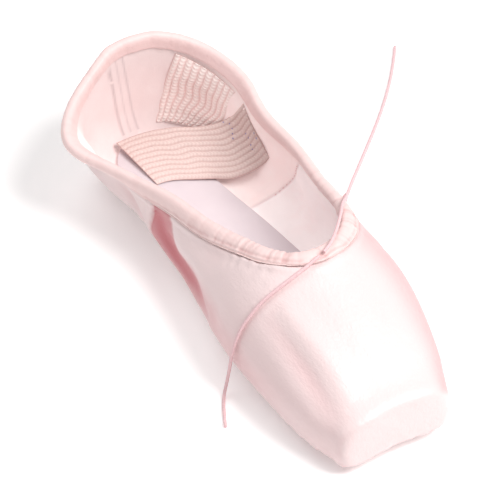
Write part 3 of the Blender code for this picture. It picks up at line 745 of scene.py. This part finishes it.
# Painted shade: darker in the gathers' troughs, along the stitch groove and in the casing's hole
binding_painted_shade = np.clip(-gather * GATHER_SHADE + GROOVE_SHADE * groove + hole, 0, DEEPEST_SHADE)
finish_mesh(binding_mesh, binding_moved, {"hollow": binding_painted_shade})
binding_mesh.materials.clear()
binding_mesh.materials.append(binding_satin)
add_piece("binding", binding_mesh, "binding_satin", "collar_binding")


def baked(made, name):
    """Mesh of a finished bmesh, with its faces turned outwards."""
    bmesh.ops.recalc_face_normals(made, faces=made.faces)
    mesh = bpy.data.meshes.new(name)
    made.to_mesh(mesh)
    made.free()
    return mesh


# A stitch swells from its ends to its middle: places along it and shares of its width
STITCH_SWELL = [(-0.5, 0.25), (-0.36, 0.85), (0, 1.0), (0.36, 0.85), (0.5, 0.25)]
STITCH_SIDES = 6
STITCH_RISE = 0.32


def add_stitches(name, places, material, slot, node):
    """Small flat threads: (middle, along, up, length, width) each, in millimetres."""
    made = bmesh.new()
    for middle, along, up, length, width in places:
        side = np.cross(up, along)
        rings = []
        for share, size in STITCH_SWELL:
            ring = []
            for k in range(STITCH_SIDES):
                turn = 2 * pi * k / STITCH_SIDES
                offset = side * cos(turn) * width / 2 * size
                offset += up * sin(turn) * width * STITCH_RISE * size
                ring.append(made.verts.new((middle + along * length * share + offset) * MM))
            rings.append(ring)
        for here, there in zip(rings, rings[1:]):
            for k in range(STITCH_SIDES):
                made.faces.new((here[k - 1], here[k], there[k], there[k - 1]))
        made.faces.new(rings[0][::-1])
        made.faces.new(rings[-1])
    mesh = baked(made, name)
    shade_smooth(mesh)
    mesh.materials.append(material)
    return add_piece(name, mesh, slot, node)


def thread_material(name, light, dark):
    material, tree, shader, place = new_material(name, 0.6, Specular_IOR_Level=0.3)
    twist = noise_at(tree, place, 0.4, 1)
    colour = mixed(tree, light, dark, ramp(tree, twist, 0.4, 0.7))
    tree.links.new(colour, shader.inputs["Base Color"])
    bumped(tree, shader, [(twist, 0.08)])
    return material


pink_thread = thread_material("pink_thread", "#f6dada", "#e2b6b6")
# The needle holes between the binding's stitches are dark thread: painted shade in the holes
shadow_thread = thread_material("needle_hole_shadow", "#bd8486", "#a86e72")
STITCH_PITCH, STITCH_SIZE, STITCH_LIFT = 2.6, (1.5, 0.7), 0.12
NEEDLE_SIZE, NEEDLE_LIFT = (0.8, 0.8), 0.05
PROBE_STEP, PROBE_WIDTH, PROBE_LEAST = 1.0, 1.2, 0.2
OTHER_FACE = 50


def nearness(place):
    """How near each point of the binding's outer face is to a place along the stitch row."""
    away = np.hypot((run - place) / PROBE_WIDTH, depth - STITCH_DEPTH)
    return np.exp(-((away + OTHER_FACE * (facing < 0)) ** 2))


def weighted(values, weight):
    return (values * weight[:, None]).sum(0) / weight.sum()


places = []
hole_shadow_places = []
for start in np.arange(-collar_length / 2, collar_length / 2, STITCH_PITCH):
    here = nearness(start)
    ahead = nearness(start + PROBE_STEP)
    behind = nearness(start - PROBE_STEP)
    if min(here.sum(), ahead.sum(), behind.sum()) < PROBE_LEAST:
        continue
    middle = weighted(binding_moved, here)
    up = weighted(binding_normals, here)
    up /= np.linalg.norm(up)
    along = weighted(binding_moved, ahead) - weighted(binding_moved, behind)
    along -= up * np.dot(along, up)
    along /= np.linalg.norm(along)
    places.append((middle + up * STITCH_LIFT, along, up, *STITCH_SIZE))
    between = middle + along * STITCH_PITCH / 2 + up * NEEDLE_LIFT
    hole_shadow_places.append((between, along, up, *NEEDLE_SIZE))
add_stitches("binding_stitches", places, pink_thread, "binding_satin", "collar_binding")
add_stitches("binding_hole_shadows", hole_shadow_places, shadow_thread, "binding_satin", "collar_binding")

# Elastics: woven strips with raised chain-like ribs, sewn under the binding to the left wall.
# Their rows are the source's, laid on the source's solids, so that each place has a position
# along and across the strip.
LONG_ROWS = [
    ((10.9, -12.5, 9.5), (43.0, -9.3, 7.4)),
    ((12.0, -5.0, 10.5), (43.9, -2.9, 7.4)),
    ((15.6, 4.0, 13.0), (49.1, 6.8, 7.4)),
    ((21.0, 13.0, 15.1), (53.6, 13.9, 7.8)),
    ((29.0, 22.5, 17.0), (59.7, 19.8, 10.0)),
    ((37.1, 30.5, 23.8), (64.9, 29.7, 15.0)),
    ((44.6, 34.6, 37.3), (67.6, 34.9, 21.1)),
]
RIBS_ACROSS = 10
GRID_TO_A_RIB, GRID_TO_A_MM = 10, 3
CHAIN_PITCH = 1.7
RIB_HEIGHT, CHAIN_HEIGHT = 0.34, 0.24
# Painted shade: the strip's face is pale on the ribs and chains and a deeper pink low between them
RIB_SHADE, CHAIN_SHADE = 0.55, 0.45
# Sideways sways of the ribs: how far, over what length, and where each starts
SWAYS = [(0.16, 4.1, 0.0), (0.10, 1.9, 1.0)]
WAVE_HEIGHT, WAVE_LENGTH, WAVE_SLANT = 0.3, 5.3, 0.4
BEDDED, EDGE_FADE, END_FADE, BACK_BELOW = 0.45, 0.4, 1.6, 0.3
STRAP_THICK = 1.1
LAY_PASSES = 12
# The foot's middle over the cavity's axis, which tells a strip's face from its back
FOOT_RISE = np.array([0.0, 0.0, 14.0])
FACES_FOOT = 0.35


def cavity_side(node):
    """BVH of those faces of a CAD node that look into the shoe, in millimetres."""
    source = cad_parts[node]
    points = np.array([source.matrix_world @ vert.co for vert in source.data.vertices]) / MM
    kept = []
    source.data.calc_loop_triangles()
    for triangle in source.data.loop_triangles:
        a, b, c = points[list(triangle.vertices)]
        normal = np.cross(b - a, c - a)
        centre = np.array([(a + b + c) / 3])
        inward = cavity_axis(centre)[0] + FOOT_RISE - centre[0]
        if np.dot(normal, inward) > FACES_FOOT * np.linalg.norm(normal) * np.linalg.norm(inward):
            kept.append(tuple(triangle.vertices))
    return BVHTree.FromPolygons([Vector(p) for p in points], kept)


def strap_grid(rows, along_count, across_count):
    """Fine grid of points between the two edges of a strip's rows."""
    rows = np.array(rows, float)
    middle = rows.mean(1)
    at = distance_along(middle)
    fine = np.linspace(0, at[-1], along_count)
    edges = [points_through(at, rows[:, side], fine) for side in range(2)]
    shares = np.linspace(0, 1, across_count)[None, :, None]
    return edges[0][:, None] * (1 - shares) + edges[1][:, None] * shares, at[-1]


def laid_strip(node, rows):
    """A strip's grid laid on its solid, the way up from each place, and the strip's length."""
    along_count = int(np.linalg.norm(np.subtract(rows[0], rows[-1])) * GRID_TO_A_MM)
    grid, length = strap_grid(rows, along_count, RIBS_ACROSS * GRID_TO_A_RIB + 1)
    tree = cavity_side(node)
    flat = grid.reshape(-1, 3) + FROM_HEEL
    laid = [np.array(tree.find_nearest(Vector(point))[0]) for point in flat]
    top = np.array(laid).reshape(grid.shape)
    for _ in range(LAY_PASSES):
        around_each = top[2:, 1:-1] + top[:-2, 1:-1] + top[1:-1, 2:] + top[1:-1, :-2]
        top[1:-1, 1:-1] = around_each / 4
    up = np.cross(np.gradient(top, axis=0), np.gradient(top, axis=1))
    up /= np.linalg.norm(up, axis=2)[:, :, None]
    middle = cavity_axis(top.reshape(-1, 3)).reshape(top.shape) + FOOT_RISE
    if ((middle - top) * up).sum() < 0:
        up = -up
    return top, up, length


def woven_ribs(along, across):
    """The rise of each rib and of the chain along it, from 0 to 1, over a strip."""
    sway = sum(far * np.sin(along / over + start) for far, over, start in SWAYS)
    rib = across + sway * np.sin(pi * across / RIBS_ACROSS)
    lift = np.abs(np.sin(pi * rib)) ** 0.7
    phase = 3 * np.cos(pi * rib) ** 2 + 2 * np.floor(rib)
    return lift, 0.5 + 0.5 * np.sin(2 * pi * along / CHAIN_PITCH + phase)


def closed_strip(name, front, back, front_shade):
    """Mesh of a front and a back grid joined along their borders, shaded by rib in front."""
    rows_count, columns = front.shape[:2]
    made = bmesh.new()
    layer = made.verts.layers.float.new("rib")
    sheets = []
    for sheet, shade in ((front, front_shade), (back, np.zeros(front.shape[:2]))):
        verts = []
        for point, value in zip(sheet.reshape(-1, 3), shade.ravel()):
            vert = made.verts.new(point * MM)
            vert[layer] = value
            verts.append(vert)
        sheets.append(np.array(verts, object).reshape(rows_count, columns))
    for sheet in sheets:
        for i in range(rows_count - 1):
            for j in range(columns - 1):
                corners = (sheet[i, j], sheet[i, j + 1], sheet[i + 1, j + 1], sheet[i + 1, j])
                made.faces.new(corners)
    border = [(i, 0) for i in range(rows_count)]
    border += [(rows_count - 1, j) for j in range(1, columns)]
    border += [(i, columns - 1) for i in range(rows_count - 2, -1, -1)]
    border += [(0, j) for j in range(columns - 2, 0, -1)]
    for here, there in zip(border, border[1:] + border[:1]):
        made.faces.new((sheets[0][here], sheets[0][there], sheets[1][there], sheets[1][here]))
    mesh = baked(made, name)
    shade_smooth(mesh)
    return mesh


def add_elastic(name, node, rows, material):
    """Closed strip: a ribbed face towards the foot and a plain back."""
    top, up, length = laid_strip(node, rows)
    along = np.linspace(0, length, top.shape[0])[:, None]
    across = np.linspace(0, RIBS_ACROSS, top.shape[1])[None, :]
    lift, chain = woven_ribs(along, across)
    wave = WAVE_HEIGHT * np.sin(along / WAVE_LENGTH + WAVE_SLANT * across)
    edge = np.minimum(across, RIBS_ACROSS - across)
    height = lift * (RIB_HEIGHT + CHAIN_HEIGHT * chain) * np.clip(edge * 3, 0, 1) + wave
    # The edges and the ends lie down to the wall, as they are sewn or pressed flat
    ends = np.minimum(along, length - along)
    sink = BEDDED + np.exp(-edge / EDGE_FADE) + np.exp(-ends / END_FADE)
    front = top + up * (height - np.minimum(sink, STRAP_THICK))[:, :, None]
    back = top - up * (STRAP_THICK + BACK_BELOW)
    mesh = closed_strip(name, front, back, lift * (RIB_SHADE + CHAIN_SHADE * chain))
    mesh.materials.append(material)
    return add_piece(name, mesh, "elastic", node)


def elastic_material(name, deep, light):
    """Rubber-cored weave: pale raised chains, with painted shade in a deeper pink between them."""
    material, tree, shader, place = new_material(name, 0.65, Specular_IOR_Level=0.3)
    colour = mixed(tree, deep, light, ramp(tree, attribute(tree, "rib"), 0.05, 0.7))
    tree.links.new(colour, shader.inputs["Base Color"])
    yarn = noise_at(tree, place, 0.5, 2)
    bumped(tree, shader, [(yarn, 0.12)])
    return material


# The long strip is given darker colours and the short one lighter, though both are the same weave:
# painted shade on the long strip, which the key lights, and painted light on the short one, which lies
# in the far wall's shade
long_piece = add_elastic(
    "long_elastic_weave",
    "long_elastic",
    LONG_ROWS,
    elastic_material("long_elastic", "#cdb0ab", "#e2cfca"),
)
SHORT_ROWS = [
    ((9.5, 20.2, 46.8), (38.3, 34.3, 38.2)),
    ((8.4, 16.7, 36.1), (37.2, 31.7, 29.7)),
    ((7.4, 14.1, 25.1), (35.3, 30.4, 21.7)),
    ((7.8, 11.7, 14.7), (30.4, 26.8, 14.9)),
    ((8.9, 9.7, 9.9), (25.7, 23.0, 10.6)),
]
# Painted light: lighter colours for the short strip, which lies in the far wall's shade
add_elastic(
    "short_elastic_weave",
    "short_elastic",
    SHORT_ROWS,
    elastic_material("short_elastic", "#efcfcb", "#fff2ee"),
)

# Small stitches inside: pale pink thread on the lining along the left seam, and violet tacks in
# the long elastic. Each row is laid on its surface by rays from inside the shoe.
LAID_FROM, LAID_LIFT = 6, 0.1


def mesh_tree(mesh):
    points = coordinates(mesh) / MM
    faces = [tuple(face.vertices) for face in mesh.polygons]
    return BVHTree.FromPolygons([Vector(p) for p in points], faces)


def laid_on(tree, route, pitch, length, width):
    """Places for add_stitches along a route, on the side of a surface that looks into the shoe."""
    line = route_points(route, pitch)
    placed = []
    for k, point in enumerate(line):
        centre = Vector(cavity_axis(point[None])[0] + FOOT_RISE)
        start = Vector(point) + (centre - Vector(point)).normalized() * LAID_FROM
        met, up, _, _ = tree.ray_cast(start, Vector(point) - start)
        if met is None:
            continue
        up = np.array(up) * np.sign(up.dot(start - met))
        along = line[min(k + 1, len(line) - 1)] - line[max(k - 1, 0)]
        along -= up * np.dot(along, up)
        along /= np.linalg.norm(along)
        placed.append((np.array(met) + up * LAID_LIFT, along, up, length, width))
    return placed


upper_tree = mesh_tree(upper_mesh)
LEFT_SEAM_ROUTE = [(-37.9, 36.6, 9.6), (-37.0, 39.6, 13.0), (-34.4, 42.6, 19.5), (-29.9, 42.6, 30.4)]
places = laid_on(upper_tree, LEFT_SEAM_ROUTE, pitch=2.2, length=1.2, width=0.45)
add_stitches("lining_stitches", places, pink_thread, "satin", "upper")
violet_thread = thread_material("violet_thread", "#9a93c4", "#7d74ad")
TACKS = [
    [(-77.0, 37.8, 22.4), (-74.6, 37.8, 21.2)],
    [(-73.0, 37.6, 19.4), (-71.2, 37.4, 17.8)],
    [(-61.0, 40.0, 28.0), (-59.0, 40.0, 26.4)],
    [(-61.0, 39.4, 21.0), (-59.4, 39.4, 19.4)],
    [(-66.0, 38.6, 24.4), (-64.0, 38.6, 23.4)],
]
long_tree = mesh_tree(long_piece.data)
places = []
for route in TACKS:
    places += laid_on(long_tree, route, pitch=1.3, length=0.9, width=0.5)
add_stitches("elastic_tacks", places, violet_thread, "elastic", "long_elastic")

# Insole: white cotton glued over board, matt and a little cloudy. The source's own solid is
# kept as it is, and only takes its material here.
def insole_material():
    material, tree, shader, place = new_material("insole_cotton", 0.7, Specular_IOR_Level=0.3)
    cloudy = noise_at(tree, place, 30, 3)
    colour = mixed(tree, "#ddd3d7", "#d2c7cc", ramp(tree, cloudy, 0.35, 0.8))
    tree.links.new(colour, shader.inputs["Base Color"])
    weave = noise_at(tree, place, 0.6, 2)
    bumped(tree, shader, [(weave, 0.06), (noise_at(tree, place, 12, 2), 0.25)])
    return material


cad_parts["insole"].data.materials.clear()
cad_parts["insole"].data.materials.append(insole_material())

# Outsole: thin tan leather with a browner cut edge, sewn on by a row of white thread that lies
# in a groove near the edge, with a second row round the front. It follows the source's outline,
# with its edge rounded.
def leather_material():
    material, tree, shader, place = new_material("sole_leather", 0.6, Specular_IOR_Level=0.35)
    normal = add_node(tree, "ShaderNodeNewGeometry").outputs["Normal"]
    height = add_node(tree, "ShaderNodeSeparateXYZ", None, {"Vector": normal}).outputs["Z"]
    flat = add_node(tree, "ShaderNodeMath", {"operation": "ABSOLUTE"}, {0: height}).outputs[0]
    cloudy = noise_at(tree, place, 9, 4)
    face = mixed(tree, "#e4c3ae", "#d2a88f", ramp(tree, cloudy, 0.35, 0.75))
    colour = mixed(tree, "#9a6a50", face, ramp(tree, flat, 0.4, 0.8))
    tree.links.new(colour, shader.inputs["Base Color"])
    pores = noise_at(tree, place, 0.8, 3)
    bumped(tree, shader, [(pores, 0.06), (cloudy, 0.2)])
    return material


SOLE_RING = 480
STATION_SLACK = 0.08
sole_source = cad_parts["outsole"]
corners = np.array([sole_source.matrix_world @ vert.co for vert in sole_source.data.vertices]) / MM
stations = np.unique(np.round(corners[:, 0], 1))
at_station = [corners[np.abs(corners[:, 0] - x) < STATION_SLACK] for x in stations]
sole_lift = np.array([rows[:, 2].min() for rows in at_station])
left_side = [(x, rows[:, 1].max()) for x, rows in zip(stations, at_station)]
right_side = [(x, rows[:, 1].min()) for x, rows in zip(stations, at_station)]


def around_ring(points):
    """A closed curve as evenly spaced points, from the first one on."""
    closed = np.concatenate([points, points[:1]])
    at = distance_along(closed)
    even = np.linspace(0, at[-1], SOLE_RING, endpoint=False)
    return np.stack([np.interp(even, at, closed[:, k]) for k in range(2)], 1)


LOOP_SHARE, LOOP_SLACK = 0.97, 0.02


def inset_ring(outline, distance):
    """Closed curve at a distance inside another, without the loops that corners leave."""
    ahead = np.roll(outline, -1, 0) - np.roll(outline, 1, 0)
    inward = np.stack([ahead[:, 1], -ahead[:, 0]], 1) / np.linalg.norm(ahead, axis=1)[:, None]
    moved_in = outline + inward * distance
    nearest = np.linalg.norm(moved_in[:, None] - outline[None], axis=2).min(1)
    return around_ring(moved_in[nearest > distance * LOOP_SHARE - LOOP_SLACK])


OUTLINE_PASSES = 6
heel_tip = [(stations[0], (left_side[0][1] + right_side[0][1]) / 2)]
outline = around_ring(np.array(heel_tip + left_side + right_side[::-1]))
for _ in range(OUTLINE_PASSES):
    outline = (np.roll(outline, 1, 0) + 2 * outline + np.roll(outline, -1, 0)) / 4
OUTER_ROW, FRONT_ROW = 3.6, 7.6
FRONT_ROW_FROM = sole_high[0] - 42
# Distance in from the outline, or across the groove, and height over the sole's lowest face
SOLE_EDGE = [(0.4, 2.0), (0.0, 1.6), (0.0, 0.5), (0.5, 0.0)]
GROOVE = [(-0.7, 0.0), (-0.35, 0.30), (0.0, 0.42), (0.35, 0.30), (0.7, 0.0)]
rings = [(distance, height, False) for distance, height in SOLE_EDGE]
rings += [(OUTER_ROW + off, height, False) for off, height in GROOVE]
rings += [(FRONT_ROW + off, height, True) for off, height in GROOVE]
sole = bmesh.new()
sole_rings = []
for distance, height, front_only in rings:
    ring = inset_ring(outline, distance)
    z = height * (fade(-ring[:, 0], -FRONT_ROW_FROM - 1, -FRONT_ROW_FROM + 1) if front_only else 1)
    z = z + np.interp(ring[:, 0], stations, sole_lift)
    sole_rings.append([sole.verts.new((x * MM, y * MM, up * MM)) for (x, y), up in zip(ring, z)])
for here, there in zip(sole_rings, sole_rings[1:]):
    for k in range(SOLE_RING):
        sole.faces.new((here[k - 1], here[k], there[k], there[k - 1]))
half = SOLE_RING // 2
for ring in (sole_rings[0], sole_rings[-1]):
    sole.faces.new((ring[0], ring[1], ring[-1]))
    for k in range(1, half - 1):
        sole.faces.new((ring[k], ring[k + 1], ring[-k - 1], ring[-k]))
    sole.faces.new((ring[half - 1], ring[half], ring[-half + 1]))
sole_mesh = baked(sole, "leather_sole")
sole_mesh.materials.append(leather_material())
add_piece("leather_sole", sole_mesh, "sole_leather", "outsole")
white_thread = thread_material("white_thread", "#f6eee8", "#e2d3c9")
SOLE_PITCH, SOLE_STITCH, SOLE_STITCH_HEIGHT = 3.8, (2.6, 0.6), 0.22
DOWN = np.array([0, 0, -1.0])
places = []
for distance, first_x in ((OUTER_ROW, sole_low[0]), (FRONT_ROW, FRONT_ROW_FROM + 2)):
    ring = inset_ring(outline, distance)
    stride = max(int(round(SOLE_PITCH / np.linalg.norm(ring[1] - ring[0]))), 1)
    for k in range(0, SOLE_RING - stride, stride):
        x, y = ring[k]
        if x < first_x:
            continue
        along = np.append(ring[(k + 1) % SOLE_RING] - ring[k - 1], 0)
        along /= np.linalg.norm(along)
        middle = np.array([x, y, np.interp(x, stations, sole_lift) + SOLE_STITCH_HEIGHT])
        places.append((middle, along, DOWN, *SOLE_STITCH))
add_stitches("sole_stitches", places, white_thread, "sole_leather", "outsole")


# Cord's cotton: the drawstring's two ends were made above and take it here, after the others
def cord_material():
    """Round cotton cord: faint diagonal plait."""
    material, tree, shader, place = new_material("cord_cotton", 0.6, Specular_IOR_Level=0.3)
    plait = noise_at(tree, place, 0.6, 1)
    colour = mixed(tree, "#efcdd0", "#e3bcc0", ramp(tree, plait, 0.3, 0.8))
    tree.links.new(colour, shader.inputs["Base Color"])
    bumped(tree, shader, [(plait, 0.05)])
    return material


cord = cord_material()
right_string.data.materials.append(cord)
left_string.data.materials.append(cord)

# Floor, light and world: a white floor, a large soft key high over the toe's left, a wide weak
# light over the heel, and an even white sky that fills the shadows.
FLOOR_HALF = 3
FLOOR_GLOW = 0.20
SKY_STRENGTH = 0.355
floor_corners = [(x * FLOOR_HALF, y * FLOOR_HALF, 0) for x, y in ((-1, -1), (1, -1), (1, 1), (-1, 1))]
floor_mesh = bpy.data.meshes.new("floor")
floor_mesh.from_pydata(floor_corners, [], [(0, 1, 2, 3)])
floor = add_object("floor", floor_mesh)
floor_material, _, shader, _ = new_material("white_floor", 0.9, Specular_IOR_Level=0.1)
shader.inputs["Base Color"].default_value = linear("#fbfafa")
shader.inputs["Emission Color"].default_value = linear("#ffffff")
shader.inputs["Emission Strength"].default_value = FLOOR_GLOW
floor_mesh.materials.append(floor_material)
floor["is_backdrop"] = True


def add_light(name, direction, distance, size, watts, colour):
    lamp = bpy.data.lights.new(name, "AREA")
    lamp.shape = "DISK"
    lamp.size = size
    lamp.energy = watts
    lamp.color = linear(colour)[:3]
    item = add_object(name, lamp)
    direction = Vector(direction).normalized()
    item.location = direction * distance
    item.rotation_euler = direction.to_track_quat("Z", "Y").to_euler()


add_light("key", (0.66, 0.50, 1.20), distance=1.6, size=0.8, watts=21.5, colour="#fffdfb")
add_light("top", (-0.45, -0.15, 1.0), distance=1.8, size=1.4, watts=10, colour="#ffffff")
world = bpy.data.worlds.new("studio")
bpy.context.scene.world = world
world.use_nodes = True
sky = world.node_tree.nodes["Background"]
sky.inputs["Color"].default_value = linear("#ffffff")
sky.inputs["Strength"].default_value = SKY_STRENGTH
bpy.context.scene.view_settings.view_transform = "Standard"

bpy.context.view_layer.update()
low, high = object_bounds()
